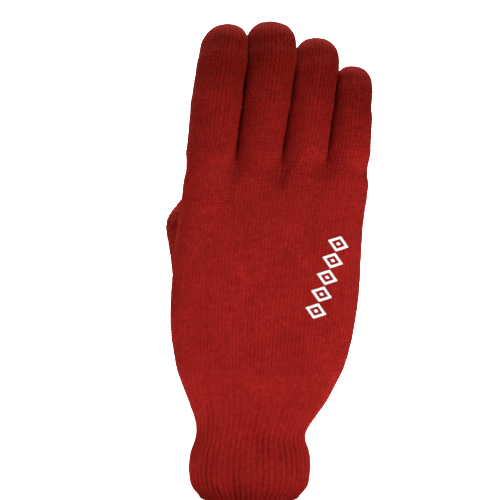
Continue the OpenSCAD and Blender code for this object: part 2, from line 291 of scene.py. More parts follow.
rows = np.zeros((K + 1, NCOL), int)
grid = np.zeros((K + 1, NCOL, 3))
sample = np.linspace(Z_HEM, 163, 120)
table = np.array([palm_row(np.full(NCOL, z)) for z in sample])  # heights x columns x 3
for v in range(K + 1):
    u = v / K
    zv = Z_HEM + (top_z - Z_HEM) * u
    idx = np.clip(np.searchsorted(sample, zv) - 1, 0, len(sample) - 2)
    t = (zv - sample[idx]) / (sample[idx + 1] - sample[idx])
    cols = np.arange(NCOL)
    grid[v] = table[idx, cols] * (1 - t)[:, None] + table[idx + 1, cols] * t[:, None]
for v in range(K + 1):
    for j in range(NCOL):
        rows[v, j] = add_vert(grid[v, j], ("palm", v, j))

# The hole for the thumb, in columns and courses
HJ0, HJ1 = 94, 106
HV0, HV1 = 47, 55
faces, f_uv, f_mat = [], [], []
MAT = {"low": 0, "mid": 1, "top": 2}
for v in range(K):
    m = 0 if v < CUT["low"] else 1 if v < CUT["mid"] else 2
    for j in range(NCOL):
        if HJ0 <= j < HJ1 and HV0 <= v < HV1:
            continue
        j2 = (j + 1) % NCOL
        faces.append((rows[v, j], rows[v, j2], rows[v + 1, j2], rows[v + 1, j]))
        f_uv.append(((j, v), (j + 1, v), (j + 1, v + 1), (j, v + 1)))
        f_mat.append(m)
# vertices inside the hole belong to no face
hole_inside = {rows[v, j] for v in range(HV0 + 1, HV1) for j in range(HJ0 + 1, HJ1)}

# Saddle lines at the crotches, back to palm side
saddles = []
for i, c in enumerate(CROTCH):
    a, b = verts[rows[K, c]], verts[rows[K, NCOL - c]]
    line = [rows[K, c]]
    for k in range(1, NS):
        t = k / NS
        p = a * (1 - t) + b * t
        line.append(add_vert(p + np.array([0, 0, 0.3]), ("saddle", i, k)))
    line.append(rows[K, NCOL - c])
    saddles.append(line)

# Finger tubes
LEN_ROWS = {"index": 48, "middle": 50, "ring": 46, "little": 34}
finger_rows = {}


def finger_path(f, s):
    """Centre and direction of the finger at distance s from its base bend (negative goes into the palm)."""
    seg = [f["l1"], f["l2"], 99]
    if s < 0:
        d = rot_y(f["lean"])[:, 2]
        return f["pts"][0] + d * s, d
    for k in range(3):
        if s <= seg[k] or k == 2:
            return f["pts"][k] + f["dirs"][k] * s, f["dirs"][k]
        s -= seg[k]


def finger_radius(f, s):
    x = [0, f["l1"], f["l1"] + f["l2"], f["l"] - f["r"][3]]
    return float(np.interp(s, x, f["r"]))


mat_no = 3
PIECES = ["hand_low", "hand_mid", "hand_top"]
split_rows = {}
for i, name in enumerate(ORDER):
    f = FINGERS[name]
    nb = f["nb"]
    N = 2 * nb + 2 * NS
    j0 = NS // 2 + sum(NB[:i])          # palm column of the finger's first back column
    left = ([rows[K, j] for j in range(0, 5)], [rows[K, (NCOL - k) % NCOL] for k in (4, 3, 2, 1)]) if i == 0 else (
        [saddles[i - 1][4 - k] for k in range(5)], [saddles[i - 1][8 - k] for k in range(4)])
    back = [rows[K, j0 + k] for k in range(1, nb)]
    right = [rows[K, HALF - 4 + k] for k in range(9)] if i == 3 else saddles[i]
    front = [rows[K, NCOL - (j0 + nb) + k] for k in range(1, nb)]
    loop = left[0] + back + right + front + left[1]
    assert len(loop) == N, (name, len(loop), N)
    ring_prev = loop
    M = LEN_ROWS[name]
    s_start = -5.2
    s_equator = f["l"] + f["grow"] - f["r"][3]
    arc = f["r"][3] * math.pi / 2
    total = (s_equator - s_start) + arc
    th = math.pi + np.arange(N) * 2 * math.pi / N
    side = f["side"]
    all_rings = [loop]
    cap_c = f["r"][3] * 0.42
    for r in range(1, M + 1):
        s = s_start + total * r / M
        ring = []
        lat = max(0.0, (s - s_equator) / f["r"][3])      # 0 at the equator, pi/2 at the top
        c0, d = finger_path(f, min(s, s_equator))
        frontv = np.cross(d, side)
        frontv /= np.linalg.norm(frontv)
        R = finger_radius(f, min(s, s_equator))
        for c in range(N):
            if r == M and c > N // 2:
                ring.append(ring[N - c])
                continue
            cx = math.copysign(abs(math.cos(th[c])) ** (2 / SQ), math.cos(th[c]))
            sy = math.copysign(abs(math.sin(th[c])) ** (2 / SQ), math.sin(th[c]))
            up = max(0.0, math.sin(lat)) ** (2 / 2.15)
            fl = max(0.0, math.cos(lat)) ** (2 / 2.15)
            zc = c0[2] + d[2] * R * up
            xc, hw, slant = finger_plan(f, min(zc, c0[2] + 0.8 * R))
            rx = (cap_c + (hw - cap_c) * fl) * cx
            ry = R * sy * fl
            p = c0 + d * R * up + frontv * ry
            p[0] = xc + side[0] * rx - slant * ry
            p[2] += side[2] * rx
            ring.append(add_vert(p, ("finger", i, r, c)))
        all_rings.append(ring)
        for c in range(N):
            c2 = (c + 1) % N
            q = (ring_prev[c], ring_prev[c2], ring[c2], ring[c])
            V = K + r - 1
            uv = ((c, V), (c + 1, V), (c + 1, V + 1), (c, V + 1))
            if len(set(q)) == 3:
                keep = [k for k in range(4) if k == 0 or q[k] != q[k - 1]]
                if len(keep) == 4:
                    keep = keep[:3]
                q, uv = tuple(q[k] for k in keep), tuple(uv[k] for k in keep)
            faces.append(q)
            f_uv.append(uv)
            f_mat.append(("f", i, r))
        ring_prev = ring
    finger_rows[name] = all_rings

# Thumb tube, from the edge of the hole
NT = 2 * (HJ1 - HJ0) + 2 * (HV1 - HV0)
loop = ([rows[HV0, j] for j in range(HJ0, HJ1)] + [rows[v, HJ1] for v in range(HV0, HV1)] +
        [rows[HV1, j] for j in range(HJ1, HJ0, -1)] + [rows[v, HJ0] for v in range(HV1, HV0, -1)])
assert len(loop) == NT == 40
# centre line: out of the palm, then up along the thumb
hole_c = np.mean([verts[k] for k in loop], axis=0)
TH_M = 56
ctrl = [hole_c + np.array([0.5, 1.0, 2.0]), hole_c + np.array([-1.0, 5.5, 9.0]), np.array([-23.2, 19.6, 96.0]), np.array([-26.4, 21.8, 112.0]), T2V + np.array([0.3, 0, -5.0]),
        T2V + (T4 - T2V) * 0.22, T4]


def catmull(pts, n=400):
    P = [2 * pts[0] - pts[1]] + list(pts) + [2 * pts[-1] - pts[-2]]
    out = []
    for i in range(1, len(P) - 2):
        for t in np.linspace(0, 1, n // (len(P) - 3), endpoint=False):
            a, b, c, d = P[i - 1], P[i], P[i + 1], P[i + 2]
            out.append(0.5 * ((2 * b) + (c - a) * t + (2 * a - 5 * b + 4 * c - d) * t * t + (3 * b - a - 3 * c + d) * t ** 3))
    out.append(P[-2])
    return np.array(out)


line = catmull(ctrl)
ls = np.concatenate([[0], np.cumsum(np.linalg.norm(np.diff(line, axis=0), axis=1))])
tan = np.gradient(line, axis=0)
tan /= np.linalg.norm(tan, axis=1)[:, None]
t_rings = [loop]
prev = loop
tip_r = THUMB_R[-1]
t_total = ls[-1] + tip_r * math.pi / 2
th = math.radians(-90) + (np.arange(NT) - 6) * 2 * math.pi / NT
for r in range(1, TH_M + 1):
    s = t_total * r / TH_M
    sc = min(s, ls[-1])
    lat = max(0.0, (s - ls[-1]) / tip_r)
    c0 = np.array([np.interp(sc, ls, line[:, k]) for k in range(3)])
    d = np.array([np.interp(sc, ls, tan[:, k]) for k in range(3)])
    d /= np.linalg.norm(d)
    e1 = np.array([-1.0, 0, 0]) - d * (-d[0])
    e1 /= np.linalg.norm(e1)
    e2 = np.cross(d, e1)
    R = float(np.interp(sc, [0, ls[-1] * 0.25, ls[-1] * 0.5, ls[-1] * 0.75, ls[-1]], [12.2, 12.8, 12.0, 11.2, tip_r]))
    cc = tip_r * 0.4
    ring = []
    for c in range(NT):
        if r == TH_M:
            mirror = (32 - c) % NT
            if mirror < c:
                ring.append(ring[mirror])
                continue
        x = math.cos(th[c])
        y = math.sin(th[c])
        p = c0 + e1 * (cc * x + (R - cc) * x * math.cos(lat)) + e2 * (R * y * math.cos(lat)) + d * R * math.sin(lat)
        ring.append(add_vert(p, ("thumb", r, c)))
    for c in range(NT):
        c2 = (c + 1) % NT
        q = (prev[c], prev[c2], ring[c2], ring[c])
        V = 400 + r - 1
        uv = ((c, V), (c + 1, V), (c + 1, V + 1), (c, V + 1))
        if len(set(q)) == 3:
            keep = [k for k in range(4) if k == 0 or q[k] != q[k - 1]]
            if len(keep) == 4:
                keep = keep[:3]
            q, uv = tuple(q[k] for k in keep), tuple(uv[k] for k in keep)
        faces.append(q)
        f_uv.append(uv)
        f_mat.append(("t", r))
    prev = ring
    t_rings.append(ring)

P = np.array(verts)
# Neighbours for smoothing
edges = set()
for q in faces:
    for a, b in zip(q, q[1:] + q[:1]):
        if a != b:
            edges.add((min(a, b), max(a, b)))
edges = np.array(sorted(edges))
deg = np.bincount(edges.ravel(), minlength=len(P)).astype(float)


def mean_of_neighbours(P):
    out = np.zeros_like(P)
    for k in range(3):
        out[:, k] = np.bincount(edges[:, 0], P[edges[:, 1], k], len(P)) + np.bincount(edges[:, 1], P[edges[:, 0], k], len(P))
    return out / np.maximum(deg, 1)[:, None]


# How strongly each vertex may slide, and which surface it belongs to
free = np.zeros(len(P))
own = np.full(len(P), -1)      # -1 palm and all, 0..3 finger, 4 thumb
own_w = np.zeros(len(P))       # 1: only its own tube's surface
for k, tag in enumerate(kind):
    if tag[0] == "palm":
        v, j = tag[1], tag[2]
        free[k] = 0.8 * float(smooth(v, K - 12, K - 3))
        dj = max(HJ0 - j, j - HJ1, 0)
        dv = max(HV0 - v, v - HV1, 0)
        free[k] = max(free[k], 0.8 * (1 - float(smooth(math.hypot(dj, dv), 3, 16))))
    elif tag[0] == "saddle":
        free[k] = 0.8
    elif tag[0] == "finger":
        own[k] = tag[1]
        free[k] = 0.8 * (1 - float(smooth(tag[2], 5, 12)))
        own_w[k] = float(smooth(tag[2], 1.0, 6))
    else:
        own[k] = 4
        free[k] = 0.8 * (1 - float(smooth(tag[1], 12, 26)))
        own_w[k] = float(smooth(tag[1], 5, 16))
top_row = np.zeros(len(P), bool)
for j in range(NCOL):
    top_row[rows[K, j]] = True
near_crotch = np.array([t[0] == "saddle" or (t[0] == "finger" and t[2] <= 8) or (t[0] == "palm" and t[1] > K - 16) for t in kind])
near_thumb = np.array([(t[0] == "thumb" and t[1] <= 30) or (t[0] == "palm" and abs(t[1] - (HV0 + HV1) / 2) < 24 and 82 < t[2] < NCOL) for t in kind])


def surface(idx):
    o, w = own[idx], own_w[idx]
    kc = near_crotch[idx]
    kt = near_thumb[idx]

    def fn(p):
        dp = d_palm(p)
        df = np.array([d_finger(p, n) for n in ORDER])
        dt = d_thumb(p)
        allf = dp.copy()
        m = kc
        if m.any():
            web = df[:, m]
            near = smooth(p[m, 0], -30.5, -23.0) * (1 - smooth(p[m, 0], 46.5, 54.0))     # not on the hand's edges
            pair = web[0]
            for q in web[1:]:
                pair = smin(pair, q, 2.6)
            allf[m] = smin(allf[m], pair, 0.4 + 4.6 * near)
        m = kt
        if m.any():
            allf[m] = smin(allf[m], dt[m], 7.0)
        res = allf
        for n in range(4):
            m = o == n
            res[m] = allf[m] * (1 - w[m]) + df[n][m] * w[m]
        m = o == 4
        res[m] = allf[m] * (1 - w[m]) + dt[m] * w[m]
        return res
    return fn


def project(P, idx, steps=2):
    fn = surface(idx)
    p = P[idx]
    for _ in range(steps):
        v = fn(p)
        g = grad(fn, p)
        n2 = np.clip((g * g).sum(1), 0.15, None)
        step = np.clip(v / n2, -1.5, 1.5)[:, None] * g
        p = p - step
    P[idx] = p


used = deg > 0
act = np.nonzero(used & (free > 0.01))[0]
rest_all = np.nonzero(used)[0]
project(P, rest_all, 3)
# The saddle lines keep their share of the distance from back to palm side
for it in range(46):
    m = mean_of_neighbours(P)
    P[act] += (m[act] - P[act]) * free[act][:, None]
    project(P, act, 1)
project(P, rest_all, 2)
# a last light evening-out where grids of different spacing meet
for it in range(3):
    m = mean_of_neighbours(P)
    P[act] += (m[act] - P[act]) * (0.35 * free[act])[:, None]

# ---------------------------------------------------------------- where the pieces part
# Rows are taken at the height where each bend's skin starts and ends
ends = {}
for i, name in enumerate(ORDER):
    f = FINGERS[name]
    zs = [P[[q for q in ring]].mean(0) for ring in finger_rows[name]]
    base = f["pts"][0]
    d0 = f["dirs"][0]
    along = []
    for c in zs:
        # distance along the bent centre line
        best, sbest = 1e9, 0
        for s in np.arange(-14, f["l"], 0.5):
            c0, _ = finger_path(f, s)
            dd = np.linalg.norm(c - c0)
            if dd < best:
                best, sbest = dd, s
        along.append(sbest)
    along = np.array(along)
    a_end = {"index": 12.3, "middle": 12.5, "ring": 11.2, "little": 8.0}[name]
    b_end = f["l1"] + {"index": 11.0, "middle": 11.2, "ring": 9.6, "little": 6.6}[name]
    ra = int(np.argmin(np.abs(along - a_end)))
    rb = int(np.argmin(np.abs(along - b_end)))
    split_rows[name] = (ra, rb, float(along[ra]), float(along[rb]))
    for part in "abc":
        PIECES.append(f"{name}_skin_{part}")
PIECES += ["thumb_skin_a", "thumb_skin_b"]
t_mid = [P[list(set(r))].mean(0) for r in t_rings]
TH_CUT = int(np.argmin([np.linalg.norm(c - (T1 + (T2 - T1) * 0.60)) for c in t_mid]))
mats = []
for m in f_mat:
    if isinstance(m, int):
        mats.append(m)
    elif m[0] == "f":
        ra, rb = split_rows[ORDER[m[1]]][:2]
        mats.append(3 + 3 * m[1] + (0 if m[2] <= ra else 1 if m[2] <= rb else 2))
    else:
        mats.append(15 + (0 if m[1] <= TH_CUT else 1))
mats = np.array(mats)

# Rib columns: every other column is drawn in behind its neighbours
Zc = P[:, 2].copy()

# ---------------------------------------------------------------- fine mesh by two subdivisions
remap = -np.ones(len(P), int)
remap[used] = np.arange(used.sum())
Pc = P[used]
Fc = [tuple(int(remap[k]) for k in q) for q in faces]


def make_mesh(name, pts, polys, smooth_shade=True):
    me = bpy.data.meshes.new(name)
    me.from_pydata([tuple(map(float, p)) for p in pts], [], [tuple(map(int, q)) for q in polys])
    me.update()
    return me


def subdivide(pts, polys, uvs, mat, levels):
    me = make_mesh("coarse", pts, polys)
    layer = me.uv_layers.new(name="knit")
    flat = np.array([c for q in uvs for c in q], float).ravel()
    layer.data.foreach_set("uv", flat)
    me.polygons.foreach_set("material_index", np.array(mat, np.int32))
    for k in range(int(max(mat)) + 1):
        me.materials.append(None)
    ob = bpy.data.objects.new("coarse", me)
    bpy.context.scene.collection.objects.link(ob)
    mod = ob.modifiers.new("s", "SUBSURF")
    mod.levels = mod.render_levels = levels
    mod.uv_smooth = "NONE"
    mod.boundary_smooth = "PRESERVE_CORNERS"
    dg = bpy.context.evaluated_depsgraph_get()
    ev = ob.evaluated_get(dg)
    m2 = bpy.data.meshes.new_from_object(ev, preserve_all_data_layers=True, depsgraph=dg)
    nv, nf, nl = len(m2.vertices), len(m2.polygons), len(m2.loops)
    V = np.empty(nv * 3); m2.vertices.foreach_get("co", V); V = V.reshape(-1, 3)
    L = np.empty(nl, np.int32); m2.loops.foreach_get("vertex_index", L)
    U = np.empty(nl * 2); m2.uv_layers["knit"].data.foreach_get("uv", U); U = U.reshape(-1, 2)
    M = np.empty(nf, np.int32); m2.polygons.foreach_get("material_index", M)
    F = L.reshape(-1, 4)
    bpy.data.objects.remove(ob)
    bpy.data.meshes.remove(me)
    bpy.data.meshes.remove(m2)
    return V, F, U.reshape(-1, 4, 2), M


V, F, U, M = subdivide(Pc, Fc, f_uv, mats, 2)
V1, F1, U1, M1 = subdivide(Pc, Fc, f_uv, mats, 1)


def vertex_normals(V, F):
    a, b, c, d = (V[F[:, k]] for k in range(4))
    n = np.cross(c - a, d - b)
    out = np.zeros_like(V)
    for k in range(4):
        for x in range(3):
            out[:, x] += np.bincount(F[:, k], n[:, x], len(V))
    return out / np.maximum(np.linalg.norm(out, axis=1), 1e-12)[:, None]


N = vertex_normals(V, F)
vu = np.zeros((len(V), 2))
vu[F.ravel()] = U.reshape(-1, 2)       # any one face corner's value: only fractions and rows are used
vm = np.zeros(len(V), int)
vm[F.ravel()] = np.repeat(M, 4)

# ---------------------------------------------------------------- stitches
colf = vu[:, 0]
row = vu[:, 1]
a = colf - np.floor(colf + 1e-6)
a = np.where(a > 0.99, 0, a)
is_palm = vm < 3
z = V[:, 2]


def leg(a):
    """Height across one stitch column: a groove between columns, two legs, and a shallow groove between the legs."""
    return np.interp(a, [0, 0.25, 0.5, 0.75, 1], [0, 1.0, 0.66, 1.0, 0])


rib = np.where(is_palm, 1 - 0.55 * smooth(z, 26, 44) - 0.45 * smooth(z, 40, 72), 0)               # 1 in the cuff, 0 on the palm
fan = np.where(is_palm, 1 - smooth(z, 44, 92), 0)               # columns stand out more on the heel of the hand
odd = np.mod(np.floor(colf + 1e-6), 2)
plain_h = leg(a)
course = np.cos(2 * math.pi * (row - 0.5 - 0.8 * np.abs(2 * a - 1)))
# rib: one column up, one column down
rp = (colf + 0.0) % 2
rib_h = np.interp(rp, [0, 0.25, 0.5, 0.75, 1.0, 1.25, 1.5, 1.75, 2.0], [0.12, 0.92, 0.66, 0.92, 0.12, -0.22, -0.42, -0.22, 0.12])
amp_plain = 0.34 + 0.10 * fan
amp_tip = np.zeros(len(V))
for i, name in enumerate(ORDER):
    sel = (vm >= 3 + 3 * i) & (vm < 6 + 3 * i)
    L0 = LEN_ROWS[name]
    rr = (row[sel] - K) / L0
    amp_tip[sel] = smooth(rr, -0.15, 0.95)
sel = vm >= 15
amp_tip[sel] = smooth((row[sel] - 400) / TH_M, 0.35, 0.95)
amp_plain = amp_plain + 0.20 * amp_tip
# closing seam at the tips: columns crowd together, so they flatten
close = np.ones(len(V))
for i, name in enumerate(ORDER):
    sel = (vm >= 3 + 3 * i) & (vm < 6 + 3 * i)
    close[sel] = 1 - 0.75 * smooth(row[sel] - K, LEN_ROWS[name] - 5, LEN_ROWS[name] - 0.5)
sel = vm >= 15
close[sel] = 1 - 0.75 * smooth(row[sel] - 400, TH_M - 5, TH_M - 0.5)

# each stitch is a little different from the next
jit_n = 4096
jit = rng.normal(0, 1, jit_n)
stitch_id = (np.floor(colf + 1e-6) * 131 + np.floor(row + 1e-6) * 17 + vm * 997).astype(int) % jit_n
wale_j = rng.normal(0, 1, jit_n)[(np.floor(colf + 1e-6) * 7 + vm * 31).astype(int) % jit_n]


def wave_noise(p, scale, seed, octaves=3):
    """Smooth pseudo-random field built from a few dozen plane waves."""
    r = np.random.default_rng(seed)
    out = np.zeros(len(p))
    amp = 1.0
    for o in range(octaves):
        for _ in range(9):
            k = r.normal(size=3)
            k *= 2 * math.pi / (scale * np.linalg.norm(k) * r.uniform(0.8, 1.25))
            out += amp * np.sin(p @ k + r.uniform(0, 2 * math.pi))
        scale *= 0.5
        amp *= 0.55
    return out / 4.0


lump = 0.16 * wave_noise(V * [1, 1, 0.7], 26, 3)
fine = 0.05 * wave_noise(V, 4.5, 11, 2)

h_plain = amp_plain * (leg(a) - 0.62) + 0.15 * course * np.where(a == 0, 0.25, 1.0) * (1 - 0.25 * fan)
rib_soft = np.clip(0.84 + 0.30 * wave_noise(V * [1, 1, 0.35], 13, 29, 2), 0.3, 1.3)    # some ribs stand out more than others
h_rib = 0.60 * rib_soft * (rib_h - 0.35) + 0.13 * course * np.where(rib_h > 0.5, 1.0, 0.35)
h = (h_plain * (1 - rib) + h_rib * rib) * close + 0.018 * jit[stitch_id] * (a > 0.1) + lump * (1 - 0.4 * rib) + fine
# small upright puckers where the heel of the hand meets the cuff
for (px, pz, w, l, dpt) in ((-1.6, 49, 0.9, 5.5, 0.55), (3.2, 50, 1.0, 6.5, 0.75), (8.6, 50.5, 1.0, 6, 0.7), (-6, 44, 1.2, 5, 0.35), (15, 46, 1.2, 6, 0.35), (-13, 52, 1.3, 7, 0.25), (22, 54, 1.4, 7, 0.25)):
    back_side = smooth(-V[:, 1], 4, 9)
    h -= dpt * back_side * np.exp(-((V[:, 0] - px) / w) ** 2 - ((z - pz) / l) ** 2)
D = V + N * h[:, None]

# painted shade in the grooves between stitches, from 0 in a groove (darkest) to 1 on a crest (none)
shade = np.clip((h_plain * (1 - rib) / 0.30 + h_rib * rib / 0.62) * 0.5 + 0.60, 0, 1)
shade = 1 - (1 - shade) * close
# painted shade: every finger and the thumb grow darker towards the tip
tip_shade = amp_tip.copy()
mott = np.clip(0.5 + 0.22 * jit[stitch_id] + 0.12 * wale_j, 0, 1)

# ---------------------------------------------------------------- materials
def principled(name):
    m = bpy.data.materials.new(name)
    m.use_nodes = True
    nt = m.node_tree
    nt.nodes.clear()
    out = nt.nodes.new("ShaderNodeOutputMaterial")
    b = nt.nodes.new("ShaderNodeBsdfPrincipled")
    nt.links.new(b.outputs[0], out.inputs[0])
    return m, nt, b


def mixrgb(nt, mode, fac, c1, c2):
    n = nt.nodes.new("ShaderNodeMix")
    n.data_type = "RGBA"
    n.blend_type = mode
    for sock, val in ((n.inputs[0], fac), (n.inputs[6], c1), (n.inputs[7], c2)):
        if hasattr(val, "node"):
            nt.links.new(val, sock)
        elif isinstance(val, (int, float)):
            sock.default_value = val
        else:
            sock.default_value = (*val, 1.0)
    return n.outputs[2]


def math_node(nt, op, x, y=None, z=None):
    n = nt.nodes.new("ShaderNodeMath")
    n.operation = op
    for i, v in enumerate((x, y, z)):
        if v is None:
            continue
        if hasattr(v, "node"):
            nt.links.new(v, n.inputs[i])
        else:
            n.inputs[i].default_value = v
    return n.outputs[0]


def attr(nt, name):
    n = nt.nodes.new("ShaderNodeAttribute")
    n.attribute_name = name
    return n


def noise(nt, vec, scale, detail=3, rough=0.6):
    n = nt.nodes.new("ShaderNodeTexNoise")
    n.inputs["Scale"].default_value = scale
    n.inputs["Detail"].default_value = detail
    n.inputs["Roughness"].default_value = rough
    nt.links.new(vec, n.inputs["Vector"])
    return n.outputs["Fac"]


def ramp(nt, fac, stops):
    n = nt.nodes.new("ShaderNodeValToRGB")
    el = n.color_ramp.elements
    while len(el) < len(stops):
        el.new(0.5)
    for e, (pos, col) in zip(el, stops):
        e.position = pos
        e.color = (*col, 1)
    nt.links.new(fac, n.inputs[0])
    return n.outputs[0]


def knit_material(name, base, groove_shade_tint, tip):
    m, nt, b = principled(name)
    co = attr(nt, "place").outputs["Vector"]
    uvn = nt.nodes.new("ShaderNodeUVMap")
    uvn.uv_map = "knit"
    sep = nt.nodes.new("ShaderNodeSeparateXYZ")
    nt.links.new(uvn.outputs[0], sep.inputs[0])
    t = math_node(nt, "FRACT", sep.outputs[0])
    m_ = math_node(nt, "ABSOLUTE", math_node(nt, "MULTIPLY_ADD", t, 2.0, -1.0))
    along = math_node(nt, "MULTIPLY_ADD", m_, -0.5, sep.outputs[1])
    # painted shade: how deep in a groove each point lies
    groove_shade_fac = attr(nt, "groove").outputs["Fac"]
    tip_shade_fac = attr(nt, "tip").outputs["Fac"]
    mo = attr(nt, "mottle").outputs["Fac"]
    fibre = noise(nt, co, 2600, 4, 0.7)
    yarn = noise(nt, co, 620, 3, 0.6)
    broad = noise(nt, co, 60, 3, 0.5)
    # the two plies of the yarn cross each leg of a stitch on the slant
    ph = math_node(nt, "MULTIPLY_ADD", along, 3.0, math_node(nt, "MULTIPLY_ADD", m_, 1.6, math_node(nt, "MULTIPLY", yarn, 0.9)))
    ply = math_node(nt, "MULTIPLY_ADD", math_node(nt, "SINE", math_node(nt, "MULTIPLY", ph, 6.2832)), 0.5, 0.5)
    # each course is a row of Vs: a line of painted shade in the crease where one loop comes up through the last
    vee = math_node(nt, "FRACT", math_node(nt, "MULTIPLY_ADD", m_, -0.8, sep.outputs[1]))
    gap = math_node(nt, "ABSOLUTE", math_node(nt, "MULTIPLY_ADD", vee, 2.0, -1.0))
    vee_crease_shade = ramp(nt, gap, [(0.50, (0, 0, 0)), (0.96, (1, 1, 1))])
    light = tuple(min(1, c * 1.25 + 0.006) for c in base)
    col = mixrgb(nt, "MIX", ramp(nt, yarn, [(0.34, (0, 0, 0)), (0.66, (1, 1, 1))]), tuple(c * 0.80 for c in base), light)
    col = mixrgb(nt, "MIX", math_node(nt, "MULTIPLY", ply, 0.30), col, tuple(c * 0.62 for c in base))
    col = mixrgb(nt, "MIX", math_node(nt, "MULTIPLY", mo, 0.42), col, tuple(c * 0.70 for c in base))
    col = mixrgb(nt, "MIX", math_node(nt, "MULTIPLY", vee_crease_shade, 0.50), col, tuple(c * 0.42 for c in base))
    round_ = math_node(nt, "MULTIPLY_ADD", math_node(nt, "MULTIPLY", gap, gap), -1.0, 1.0)
    col = mixrgb(nt, "MIX", ramp(nt, fibre, [(0.60, (0, 0, 0)), (0.74, (0.55, 0.55, 0.55))]), col, tuple(min(1, c * 1.9 + 0.012) for c in base))
    col = mixrgb(nt, "MULTIPLY", 1.0, col, ramp(nt, broad, [(0.3, (0.86, 0.84, 0.84)), (0.7, (1.06, 1.06, 1.06))]))
    # painted shade: darker towards the finger and thumb tips
    col = mixrgb(nt, "MIX", tip_shade_fac, col, mixrgb(nt, "MULTIPLY", 1.0, col, tip))
    # painted shade: the grooves between stitches are darkened
    col = mixrgb(nt, "MIX", ramp(nt, groove_shade_fac, [(0.0, (1, 1, 1)), (0.8, (0, 0, 0))]), col, mixrgb(nt, "MULTIPLY", 1.0, col, groove_shade_tint))
    nt.links.new(col, b.inputs["Base Color"])
    b.inputs["Roughness"].default_value = 0.9
    b.inputs["Specular IOR Level"].default_value = 0.05
    b.inputs["Sheen Weight"].default_value = 0.035
    b.inputs["Sheen Roughness"].default_value = 0.5
    b.inputs["Sheen Tint"].default_value = (0.9, 0.25, 0.20, 1)
    last = None
    for src, strength, dist in ((round_, 0.7, 0.00026), (ply, 0.5, 0.00012), (yarn, 0.5, 0.0002), (fibre, 0.5, 0.00009)):
        bump = nt.nodes.new("ShaderNodeBump")
        bump.inputs["Strength"].default_value = strength
        bump.inputs["Distance"].default_value = dist
        nt.links.new(src, bump.inputs["Height"])
        if last is not None:
            nt.links.new(last, bump.inputs["Normal"])
        last = bump.outputs[0]
    nt.links.new(last, b.inputs["Normal"])
    return m


RED = (0.40, 0.0138, 0.0104)
# third colour: tint of the painted groove shade; fourth colour: tint of the painted tip shade
m_knit = knit_material("red_marl_knit", RED, (0.40, 0.34, 0.34), (0.60, 0.52, 0.36))
m_touch = knit_material("conductive_knit", (0.385, 0.0132, 0.0096), (0.40, 0.34, 0.34), (0.58, 0.50, 0.32))
m_rib = knit_material("red_rib_knit", (0.41, 0.0145, 0.0112), (0.58, 0.52, 0.52), (1, 1, 1))

# ---------------------------------------------------------------- pieces
Nd = vertex_normals(D, F)
T_IN = 1.45                                  # the cloth's thickness
N1 = vertex_normals(V1, F1)
vu1 = np.zeros((len(V1), 2))
vu1[F1.ravel()] = U1.reshape(-1, 2)
purl = 0.10 * np.cos(2 * math.pi * vu1[:, 1]) - 0.05 * np.cos(4 * math.pi * vu1[:, 0])
D1 = V1 + N1 * (purl - T_IN)[:, None]
Nd1 = vertex_normals(D1, F1)
# inside the cuff the rib shows from both faces
h_in = 0.75 * (h_rib * rib + 0.5 * h_plain * (1 - rib)) - 1.55
D_rib_in = V + N * h_in[:, None]
Nd_rib_in = vertex_normals(D_rib_in, F)
ROWS = {0: (0, CUT["low"]), 1: (CUT["low"], CUT["mid"]), 2: (CUT["mid"], K)}
for i, name in enumerate(ORDER):
    ra, rb = split_rows[name][:2]
    for q, (r0, r1) in enumerate(((0, ra), (ra, rb), (rb, LEN_ROWS[name]))):
        ROWS[3 + 3 * i + q] = (K + r0, K + r1)
ROWS[15], ROWS[16] = (400, 400 + TH_CUT), (400 + TH_CUT, 400 + TH_M)


def columns(k):
    return NCOL if k < 3 else NT if k >= 15 else 2 * (FINGERS[ORDER[(k - 3) // 3]]["nb"] + NS)


def bake_uv(k, Us, lo, hi):
    """Lay a piece's columns and courses out flat in a few bands between two heights of the map."""
    n, (r0, r1) = columns(k), ROWS[k]
    bands = max(1, round(math.sqrt(n * 1.75 / ((r1 - r0) * 1.43 * 1.25))))
    w = math.ceil(n / bands)
    c0 = np.floor(Us[:, :, 0].min(1) + 1e-4)
    band = np.clip(c0 // w, 0, bands - 1)
    u = (Us[:, :, 0] - band[:, None] * w) / w
    v = (band[:, None] + 0.01 + 0.98 * (Us[:, :, 1] - r0) / (r1 - r0)) / bands
    return np.stack([0.004 + 0.992 * u * 0.995, lo + (hi - lo) * v], 2)


def as_mesh(name, pts, polys, norms, uvs, bake, attrs, mat):
    me = bpy.data.meshes.new(name)
    me.vertices.add(len(pts))
    me.vertices.foreach_set("co", (pts * MM).ravel())
    me.loops.add(polys.size)
    me.loops.foreach_set("vertex_index", polys.ravel().astype(np.int32))
    me.polygons.add(len(polys))
    me.polygons.foreach_set("loop_start", np.arange(0, polys.size, polys.shape[1], dtype=np.int32))
    me.update(calc_edges=True)
    me.polygons.foreach_set("use_smooth", np.ones(len(me.polygons), bool))
    for an, src in attrs.items():
        at = me.attributes.new(an, "FLOAT", "POINT")
        at.data.foreach_set("value", np.ascontiguousarray(src, np.float32))
    at = me.attributes.new("place", "FLOAT_VECTOR", "POINT")
    at.data.foreach_set("vector", (pts * MM).astype(np.float32).ravel())
    for un, src in (("knit", uvs), ("OFBake", bake)):
        if src is not None:
            uv = me.uv_layers.new(name=un)
            uv.data.foreach_set("uv", src.reshape(-1, 2).astype(np.float32).ravel())
    if norms is not None:
        me.normals_split_custom_set_from_vertices([tuple(n) for n in norms])
    me.materials.append(mat)
    ob = bpy.data.objects.new(name, me)
    bpy.context.scene.collection.objects.link(ob)
    return ob


def cut_out(Dx, Fx, Nx, Ux, sel, flip):
    Fs, Us = Fx[sel], Ux[sel]
    if flip:
        Fs, Us = Fs[:, ::-1], Us[:, ::-1]
    ids, inv = np.unique(Fs.ravel(), return_inverse=True)
    return Dx[ids], inv.reshape(-1, 4), (-Nx[ids] if flip else Nx[ids]), Us, ids


